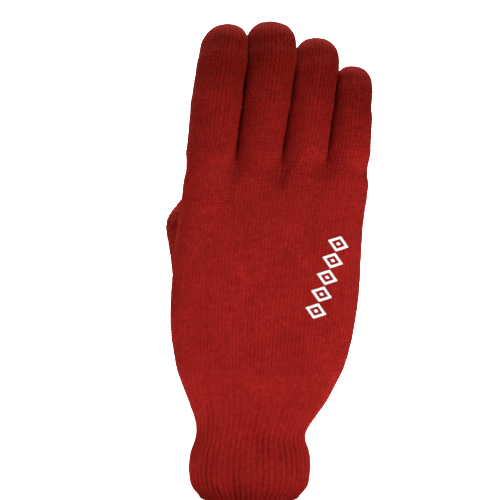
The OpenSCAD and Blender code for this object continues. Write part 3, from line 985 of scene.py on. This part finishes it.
def build_piece(k, name, mat):
    so = np.nonzero(M == k)[0]
    po, fo, no, uo, io = cut_out(D, F, Nd, U, so, False)
    if k == 0:
        pi, fi, ni, ui, ii = cut_out(D_rib_in, F, Nd_rib_in, U, so, True)
        # painted shade: the inner rib's grooves darkened a little more than outside
        liner_groove_shade = shade[ii] * 0.8
        liner_tip_shade = np.zeros(len(pi))
    else:
        pi, fi, ni, ui, ii = cut_out(D1, F1, Nd1, U1, np.nonzero(M1 == k)[0], True)
        # painted shade: the liner evenly darkened all over
        liner_groove_shade = np.full(len(pi), 0.5)
        # painted shade: the liner carries a little of the tips' shade
        liner_tip_shade = np.full(len(pi), 0.3)
    bo, bi = bake_uv(k, uo, 0.0, 0.78), bake_uv(k, ui, 0.8, 1.0)
    return as_mesh(name, np.concatenate([po, pi]), np.concatenate([fo, fi + len(po)]), np.concatenate([no, ni]),
                   np.concatenate([uo, ui]), np.concatenate([bo, bi]),
                   {"groove": np.concatenate([shade[io], liner_groove_shade]), "tip": np.concatenate([tip_shade[io], liner_tip_shade]),
                    "mottle": np.concatenate([mott[io], np.full(len(pi), 0.5)])}, mat)


objs = {}
for k, name in enumerate(PIECES):
    mat = m_rib if k == 0 else m_touch if name in ("index_skin_c", "middle_skin_c", "thumb_skin_b") else m_knit
    objs[name] = build_piece(k, name, mat)
print("pieces", {n: len(o.data.polygons) for n, o in objs.items()})


def tube_mesh(paths, radius, sides=8, closed=True, ply=0.0, turns=0.0):
    """Round threads along paths; ply > 0 gives them the bumps of a two-ply twist."""
    pts, polys, uvs = [], [], []
    base = 0
    for j, path in enumerate(paths):
        path = np.asarray(path, float)
        n = len(path)
        tg = (np.roll(path, -1, 0) - np.roll(path, 1, 0)) if closed else np.gradient(path, axis=0)
        tg /= np.linalg.norm(tg, axis=1)[:, None]
        ref = np.array([0, 0, 1.0])
        if abs(tg[0] @ ref) > 0.9:
            ref = np.array([1.0, 0, 0])
        e1 = np.zeros((n, 3))
        e1[0] = np.cross(tg[0], ref)
        e1[0] /= np.linalg.norm(e1[0])
        for i in range(1, n):
            e = e1[i - 1] - tg[i] * (e1[i - 1] @ tg[i])
            e1[i] = e / np.linalg.norm(e)
        e2 = np.cross(tg, e1)
        an = np.arange(sides) * 2 * math.pi / sides
        tw = np.arange(n) * turns * 2 * math.pi / n
        r = radius * (1 + ply * (np.abs(np.cos(an[None, :] - tw[:, None])) - 0.6))
        rr = r if closed else r * np.sqrt(np.clip(1 - (np.abs(np.linspace(-1, 1, n)) ** 14), 0.02, 1))[:, None]
        ring = path[:, None] + e1[:, None] * (rr * np.cos(an))[..., None] + e2[:, None] * (rr * np.sin(an))[..., None]
        pts.append(ring.reshape(-1, 3))
        m = n if closed else n - 1
        i = np.arange(m)[:, None]
        s_ = np.arange(sides)[None, :]
        i2, s2 = (i + 1) % n, (s_ + 1) % sides
        polys.append(base + np.stack([i * sides + s_, i2 * sides + s_, i2 * sides + s2, i * sides + s2], 2).reshape(-1, 4)[:, ::-1])
        uu = np.stack([i + 0 * s_, i + 1 + 0 * s_, i + 1 + 0 * s_, i + 0 * s_], 2) / m
        vv = (j + (np.stack([s_ + 0 * i, s_ + 0 * i, s_ + 1 + 0 * i, s_ + 1 + 0 * i], 2)) / sides * 0.94 + 0.03) / len(paths)
        uvs.append(np.stack([uu, vv], 3).reshape(-1, 4, 2)[:, ::-1])
        base += n * sides
        if not closed:
            pass
    return np.concatenate(pts), np.concatenate(polys), np.concatenate(uvs)


def thread_piece(name, paths, radius, mat, **kw):
    p, f, u = tube_mesh(paths, radius, **kw)
    n = vertex_normals(p, f)
    return as_mesh(name, p, f, n, u * [40, 1], u, {"groove": np.ones(len(p)), "tip": np.zeros(len(p)), "mottle": np.full(len(p), 0.5)}, mat)


# ---------------------------------------------------------------- threads and print
def thread_material(name, c1, c2, rough):
    m, nt, b = principled(name)
    co = attr(nt, "place").outputs["Vector"]
    uvn = nt.nodes.new("ShaderNodeUVMap")
    uvn.uv_map = "knit"
    tw = nt.nodes.new("ShaderNodeTexWave")
    tw.inputs["Scale"].default_value = 6
    tw.inputs["Distortion"].default_value = 1.5
    nt.links.new(uvn.outputs[0], tw.inputs["Vector"])
    fib = noise(nt, co, 3000, 3, 0.7)
    col = mixrgb(nt, "MIX", tw.outputs["Fac"], c1, c2)
    col = mixrgb(nt, "MIX", ramp(nt, fib, [(0.55, (0, 0, 0)), (0.75, (0.6, 0.6, 0.6))]), col, tuple(min(1, c * 1.7 + 0.02) for c in c2))
    nt.links.new(col, b.inputs["Base Color"])
    b.inputs["Roughness"].default_value = rough
    b.inputs["Specular IOR Level"].default_value = 0.2
    bp = nt.nodes.new("ShaderNodeBump")
    bp.inputs["Strength"].default_value = 0.4
    bp.inputs["Distance"].default_value = 0.0001
    nt.links.new(fib, bp.inputs["Height"])
    nt.links.new(bp.outputs[0], b.inputs["Normal"])
    return m


m_thread = thread_material("red_sewing_thread", (0.16, 0.007, 0.006), (0.30, 0.013, 0.010), 0.75)
m_elastic = thread_material("elastic_cord", (0.30, 0.03, 0.025), (0.50, 0.09, 0.075), 0.6)

tree = BVHTree.FromPolygons([tuple(p) for p in D], [tuple(int(c) for c in q) for q in F])
half = V + N * (0.45 * h + 0.02)[:, None]
tree_half = BVHTree.FromPolygons([tuple(p) for p in half], [tuple(int(c) for c in q) for q in F])


def back_y(x, z, which):
    hit = which.ray_cast(Vector((float(x), -60, float(z))), Vector((0, 1, 0)))
    return hit[0].y if hit[0] is not None else None


# Print: outlined diamonds, a film that lies over the stitches
PRINT_A, PRINT_X, PRINT_Z, STEP = math.radians(71.5), 36.6, 108, 8.4


def diamond_ring(w, hh, n):
    """n points a side, corners slightly rounded, anticlockwise."""
    cs = np.array([[-w / 2, 0], [0, -hh / 2], [w / 2, 0], [0, hh / 2]])
    out = []
    for q in range(4):
        for t in np.arange(n) / n:
            out.append(cs[q] * (1 - t) + cs[(q + 1) % 4] * t)
    out = np.array(out)
    for _ in range(1):
        out = 0.5 * out + 0.25 * (np.roll(out, 1, 0) + np.roll(out, -1, 0))
    return out


film_pts, film_polys, film_uv = [], [], []
for i in range(5):
    for kind_, rings in (("frame", [(7.8, 10.6), (7.1, 9.6), (6.35, 8.6), (5.65, 7.6), (4.9, 6.6)]), ("dot", [(1.8, 2.5), (1.2, 1.65), (0.6, 0.85)])):
        n = 20 if kind_ == "frame" else 6
        loops = [diamond_ring(w, hh, n) for w, hh in rings]
        m = len(loops[0])
        base = len(film_pts)
        flat = []
        for lp in loops:
            flat += list(lp)
        if kind_ == "dot":
            flat.append(np.zeros(2))
        top = []
        for q in flat:
            u = q[0] + (i - 2) * STEP
            w_ = q[1]
            x = PRINT_X + u * math.cos(PRINT_A) - w_ * math.sin(PRINT_A)
            zz = PRINT_Z + u * math.sin(PRINT_A) + w_ * math.cos(PRINT_A)
            ys = [back_y(x + dx, zz + dz, tree_half) for dx in (-0.3, 0, 0.3) for dz in (-0.4, 0, 0.4)]
            ys = [y for y in ys if y is not None]
            top.append((x, 0.55 * np.mean(ys) + 0.45 * back_y(x, zz, tree_half) - 0.27, zz))
        nflat = len(top)
        under = [(x, y + 0.75, zz) for x, y, zz in top]
        film_pts += top + under
        quads = []
        for r in range(len(loops) - 1):
            for c in range(m):
                c2 = (c + 1) % m
                quads.append((base + r * m + c, base + r * m + c2, base + (r + 1) * m + c2, base + (r + 1) * m + c))
        if kind_ == "dot":
            r = len(loops) - 1
            ctr = base + nflat - 1
            for c in range(0, m, 2):
                quads.append((base + r * m + c, base + r * m + (c + 1) % m, base + r * m + (c + 2) % m, ctr))
        side_q = []
        for r, rev in ((0, False), (len(loops) - 1, True)) if kind_ == "frame" else ((0, False),):
            for c in range(m):
                c2 = (c + 1) % m
                a_, b_ = base + r * m + c, base + r * m + c2
                q = (b_, a_, a_ + nflat, b_ + nflat)
                side_q.append(q[::-1] if rev else q)
        low_q = [tuple(k_ + nflat for k_ in q)[::-1] for q in quads]
        film_polys += quads + side_q + low_q
film_pts = np.array(film_pts)
film_polys = np.array(film_polys)
pn = vertex_normals(film_pts, film_polys)
if pn[0][1] > 0:
    film_polys = film_polys[:, ::-1]
m_print, nt, b = principled("white_transfer_film")
co = attr(nt, "place").outputs["Vector"]
crack = noise(nt, co, 700, 4, 0.6)
nt.links.new(mixrgb(nt, "MIX", ramp(nt, crack, [(0.30, (1, 1, 1)), (0.42, (0, 0, 0))]), (0.86, 0.855, 0.85), (0.70, 0.60, 0.585)), b.inputs["Base Color"])
b.inputs["Roughness"].default_value = 0.55
b.inputs["Specular IOR Level"].default_value = 0.3
bp = nt.nodes.new("ShaderNodeBump")
bp.inputs["Strength"].default_value = 0.3
bp.inputs["Distance"].default_value = 0.0001
nt.links.new(crack, bp.inputs["Height"])
nt.links.new(bp.outputs[0], b.inputs["Normal"])
film = as_mesh("back_film", film_pts, film_polys, None, None, None, {"groove": np.ones(len(film_pts))}, m_print)
film.data.polygons.foreach_set("use_smooth", np.zeros(len(film.data.polygons), bool))
for po in film.data.polygons:
    po.use_smooth = po.index % 1 == 0 and abs(po.normal.y) > 0.5
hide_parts("back_print")
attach(film, "hand")

# Hem: the rib turns in over the edge and is overlocked
hem_cols = NCOL * 4
row0 = np.nonzero((np.abs(row) < 1e-3) & (vm == 0))[0]
order = row0[np.argsort(colf[row0] + (colf[row0] < 0) * 0)]
order = order[np.argsort(np.mod(colf[order], NCOL))]
# drop a repeat of the seam column
_, first = np.unique(np.round(np.mod(colf[order], NCOL), 3), return_index=True)
order = order[first]
out_edge, in_edge = D[order], D_rib_in[order]
ne = len(order)
cen = out_edge.mean(0)
mid = (out_edge + in_edge) / 2
radial = out_edge - in_edge
radial[:, 2] = 0
radial /= np.linalg.norm(radial, axis=1)[:, None]
rib0 = h_rib[order]
prof_n = 11
hem_pts = np.zeros((prof_n, ne, 3))
for k in range(prof_n):
    t = math.pi * k / (prof_n - 1)
    w = np.linalg.norm(out_edge - in_edge, axis=1) / 2
    arch = smooth(np.abs(mid[:, 0]), 12, 25)
    drop = (2.9 + 0.18 * rib0) * (1 - 0.62 * arch)
    c = mid * (1 - math.sin(t) * 0.0)
    hem_pts[k] = mid + radial * (w * math.cos(t) - (0.35 + 0.5 * arch) * math.sin(t))[:, None]
    hem_pts[k, :, 2] = mid[:, 2] + (out_edge[:, 2] - mid[:, 2]) * math.cos(t) - drop * math.sin(t) ** 0.8
hp = hem_pts.reshape(-1, 3)
ii, jj = np.meshgrid(np.arange(prof_n - 1), np.arange(ne), indexing="ij")
j2 = (jj + 1) % ne
hf = np.stack([ii * ne + jj, (ii + 1) * ne + jj, (ii + 1) * ne + j2, ii * ne + j2], 2).reshape(-1, 4)
if ((hp[hf[0]].mean(0) - cen)[:2] @ np.cross(hp[hf[0][2]] - hp[hf[0][0]], hp[hf[0][3]] - hp[hf[0][1]])[:2]) < 0:
    hf = hf[:, ::-1]
hu = np.stack([np.stack([jj, jj, jj + 1, jj + 1], 2) / 4.0, np.stack([ii, ii + 1, ii + 1, ii], 2) / 3.0], 3).reshape(-1, 4, 2)
stitch_paths = []
for j in range(0, ne, 4):
    pts_ = []
    for t in np.linspace(-0.25, 1.22, 16):
        jc = (j + 2.6 * t) % ne
        j0_, fr_ = int(jc) % ne, jc - int(jc)
        j1_ = (j0_ + 1) % ne
        k = np.clip(t, 0, 1) * (prof_n - 1)
        k0 = min(int(k), prof_n - 2)
        kf = k - k0
        p0 = hem_pts[k0, j0_] * (1 - fr_) + hem_pts[k0, j1_] * fr_
        p1 = hem_pts[k0 + 1, j0_] * (1 - fr_) + hem_pts[k0 + 1, j1_] * fr_
        p = p0 * (1 - kf) + p1 * kf
        rad = radial[j0_] * (1 - fr_) + radial[j1_] * fr_
        tt = np.clip(t, 0, 1)
        n_ = rad * math.cos(math.pi * tt) + np.array([0, 0, -1.0]) * math.sin(math.pi * tt)
        p = p + n_ * (0.16 - 0.5 * smooth(abs(t - 0.5), 0.60, 0.73))
        if t < 0:
            p = p + np.array([0, 0, 1.0]) * (-t) * 7 - 0
        if t > 1:
            p = p + np.array([0, 0, 1.0]) * (t - 1) * 7
        pts_.append(p)
    stitch_paths.append(pts_)
sp, sf, su = tube_mesh(stitch_paths, 0.27, sides=6, closed=False, ply=0.25, turns=2)
hem_all = np.concatenate([hp, sp])
hem_f = np.concatenate([hf, sf + len(hp)])
hb = np.stack([hu[..., 0] / (ne / 4.0), hu[..., 1] / ((prof_n - 1) / 3.0) * 0.48], 2)
# painted shade: the hem takes the cuff's groove shade, a little deeper
hem = as_mesh("wrist_hem", hem_all, hem_f, vertex_normals(hem_all, hem_f), np.concatenate([hu, su * [4, 1]]),
              np.concatenate([hb, su * [1, 0.48] + [0, 0.5]]),
              {"groove": np.concatenate([np.tile(shade[order], prof_n) * 0.9, np.ones(len(sp))]), "tip": np.zeros(len(hem_all)), "mottle": np.full(len(hem_all), 0.5)}, m_rib)
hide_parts("cuff_hem")
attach(hem, "cuff")

# Elastic threads inside the cuff, each in a shallow wave
paths = []
inner_tree = BVHTree.FromPolygons([tuple(p) for p in D_rib_in], [tuple(int(c) for c in q) for q in F])
for i in range(6):
    ze = 7.5 + 19 * i / 5
    path = []
    for k in range(456):
        a_ = 2 * math.pi * k / 456
        zz = ze + 0.35 * math.sin(a_ * 57 + i)
        d_ = Vector((math.cos(a_), math.sin(a_) * 0.68, 0)).normalized()
        hit = inner_tree.ray_cast(Vector((0, 0, zz)), d_)
        p = np.array(hit[0]) - np.array(d_) * 0.25
        path.append(p)
    path = np.array(path)
    for _ in range(5):
        sm = 0.5 * path + 0.25 * (np.roll(path, 1, 0) + np.roll(path, -1, 0))
        path = sm
    paths.append(path)
el = thread_piece("cuff_elastic_threads", paths, 0.36, m_elastic, sides=8, ply=0.3, turns=90)
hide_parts("cuff_elastic")
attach(el, "cuff")

# Linking stitches at the crotches: short whips over the seam, back and palm side
rel = {old: new for new, old in enumerate(np.nonzero(used)[0])}
paths = []
for i, c in enumerate(CROTCH):
    for jc, sgn in ((c, -1), (NCOL - c, 1)):
        q = P[rows[K, jc]]
        for w in range(3):
            zz = q[2] - 1.4 - 1.5 * w
            pth = []
            for t in np.linspace(-1, 1, 9):
                x = q[0] + 0.95 * t
                z_ = zz + 0.35 * t
                hit = tree.ray_cast(Vector((float(x), 60.0 * sgn, float(z_))), Vector((0, -sgn, 0)))
                if hit[0] is None:
                    continue
                pth.append(np.array(hit[0]) + np.array([0, sgn, 0]) * (0.16 - 0.5 * abs(t) ** 6))
            if len(pth) == 9:
                paths.append(np.array(pth))
link = thread_piece("crotch_threads", paths, 0.2, m_thread, sides=6, closed=False, ply=0.25, turns=2)
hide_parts("crotch_stitches")
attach(link, "hand")

# Closing threads, drawn up inside each tip
def ring_path(c, ex, ey, ez, r, n=72):
    t = np.arange(n) * 2 * math.pi / n
    return c + ex * (r * np.cos(t))[:, None] + ey * (r * np.sin(t))[:, None] + ez * (0.25 * np.sin(9 * t))[:, None]


for name in ORDER + ["thumb"]:
    if name == "thumb":
        c, d = T4, (T4 - T2) / np.linalg.norm(T4 - T2)
        r = THUMB_R[-1]
    else:
        f = FINGERS[name]
        c, d, r = f["pts"][3], f["dirs"][2], f["r"][3]
    ex = np.cross(d, [0, 1, 0.0])
    ex /= np.linalg.norm(ex)
    ey = np.cross(d, ex)
    c = c + d * (math.sqrt((r - 1.6) ** 2 - 2.2 ** 2) - 0.25)
    th_ = thread_piece(f"{name}_drawn_thread", [ring_path(c, ex, ey, d, 2.2), ring_path(c - d * 0.5, ex, ey, d, 1.5)], 0.32, m_thread, sides=8, ply=0.3, turns=16)
    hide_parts(f"{name}_closing_thread")
    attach(th_, f"{name}_tip")

# ---------------------------------------------------------------- riding, and pieces fixed in place
def mpt(p):
    return tuple(float(c) * MM for c in p)


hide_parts("cuff_rib", "wrist_fold")
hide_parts("palm_tube")
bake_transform(objs["hand_low"])
for n in ("hand_mid", "hand_top"):
    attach(objs[n], "hand")
for name in ORDER:
    f = FINGERS[name]
    ra, rb, sa, sb = split_rows[name]
    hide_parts(f"{name}_lower_tube", f"{name}_base_fold")
    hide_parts(f"{name}_upper_tube", f"{name}_mid_fold")
    tip = f"{name}_touch_tip" if name in ("index", "middle") else f"{name}_plain_tip"
    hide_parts(tip, f"{name}_end_fold")
    p0, d0 = finger_path(f, -6.0)[0], None
    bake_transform(objs[f"{name}_skin_a"], "hand", f"{name}_lower", start=mpt(finger_path(f, -5.5)[0]), end=mpt(finger_path(f, sa - 0.3)[0]))
    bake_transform(objs[f"{name}_skin_b"], f"{name}_lower", f"{name}_upper", start=mpt(finger_path(f, sa + 0.3)[0]), end=mpt(finger_path(f, sb - 0.3)[0]))
    l12 = f["l1"] + f["l2"]
    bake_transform(objs[f"{name}_skin_c"], f"{name}_upper", f"{name}_tip", start=mpt(finger_path(f, sb + 0.3)[0]), end=mpt(finger_path(f, l12 + 7)[0]))
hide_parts("thumb_lower_tube")
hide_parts("thumb_touch_tip", "thumb_knuckle_fold")
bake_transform(objs["thumb_skin_a"])
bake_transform(objs["thumb_skin_b"])

# ---------------------------------------------------------------- stage, light and camera
scene = bpy.context.scene
scene.view_settings.view_transform = "Standard"
scene.view_settings.look = "None"


def backdrop():
    prof = [(-0.75, 0.0), (0.6, 0.0)]
    r = 1.3
    for k in range(1, 37):
        t = math.pi / 2 * k / 36
        prof.append((0.6 + r * math.sin(t), r - r * math.cos(t)))
    prof.append((0.6 + r, 3.0))
    pts, fs = [], []
    for y, zz in prof:
        pts += [(-0.75, y, zz - 0.0008), (0.75, y, zz - 0.0008)]
    for k in range(len(prof) - 1):
        fs.append((2 * k, 2 * k + 1, 2 * k + 3, 2 * k + 2))
    me = bpy.data.meshes.new("floor")
    me.from_pydata(pts, [], fs)
    me.polygons.foreach_set("use_smooth", np.ones(len(fs), bool))
    ob = bpy.data.objects.new("floor", me)
    scene.collection.objects.link(ob)
    m, nt, b = principled("paper")
    b.inputs["Base Color"].default_value = (0.92, 0.92, 0.92, 1)
    b.inputs["Roughness"].default_value = 0.9
    me.materials.append(m)


backdrop()
world = bpy.data.worlds.new("studio")
scene.world = world
world.use_nodes = True
wn = world.node_tree
seen = wn.nodes["Background"]
seen.inputs[0].default_value = (1, 1, 1, 1)
seen.inputs[1].default_value = 1.0              # what the camera sees past the paper
soft = wn.nodes.new("ShaderNodeBackground")
soft.inputs[0].default_value = (1, 1, 1, 1)
soft.inputs[1].default_value = 0.13             # what lights the glove
path = wn.nodes.new("ShaderNodeLightPath")
pick = wn.nodes.new("ShaderNodeMixShader")
wn.links.new(path.outputs["Is Camera Ray"], pick.inputs[0])
wn.links.new(soft.outputs[0], pick.inputs[1])
wn.links.new(seen.outputs[0], pick.inputs[2])
wn.links.new(pick.outputs[0], wn.nodes["World Output"].inputs["Surface"])


def area(name, loc, target, size, power, color=(1, 1, 1), spread=180):
    l = bpy.data.lights.new(name, "AREA")
    l.spread = math.radians(spread)
    l.shape = "DISK"
    l.size = size
    l.energy = power
    l.color = color
    o = bpy.data.objects.new(name, l)
    o.location = loc
    o.rotation_euler = (Vector(target) - Vector(loc)).to_track_quat("-Z", "Y").to_euler()
    scene.collection.objects.link(o)


area("key", (0.44, -0.82, 0.15), (0.02, 0, 0.12), 0.5, 5.2, (1, 0.97, 0.95))
area("fill", (-0.42, -0.95, 0.22), (0.0, 0, 0.1), 0.7, 1.7)
area("wash", (0.0, 0.62, 1.85), (0, 0.9, 0.1), 0.7, 46, spread=84)

cam = bpy.data.cameras.new("camera")
cam.sensor_width = 36
dist = 1.0
width = 502 * 0.48 * MM
cam.lens = 36 * dist / width
cam_o = bpy.data.objects.new("camera", cam)
scene.collection.objects.link(cam_o)
cam_o.location = ((251 - 250) * 0.48 * MM, -dist, (502 - 250) * 0.48 * MM)
cam_o.rotation_euler = (math.pi / 2, 0, 0)
cam.clip_end = 20
scene.camera = cam_o
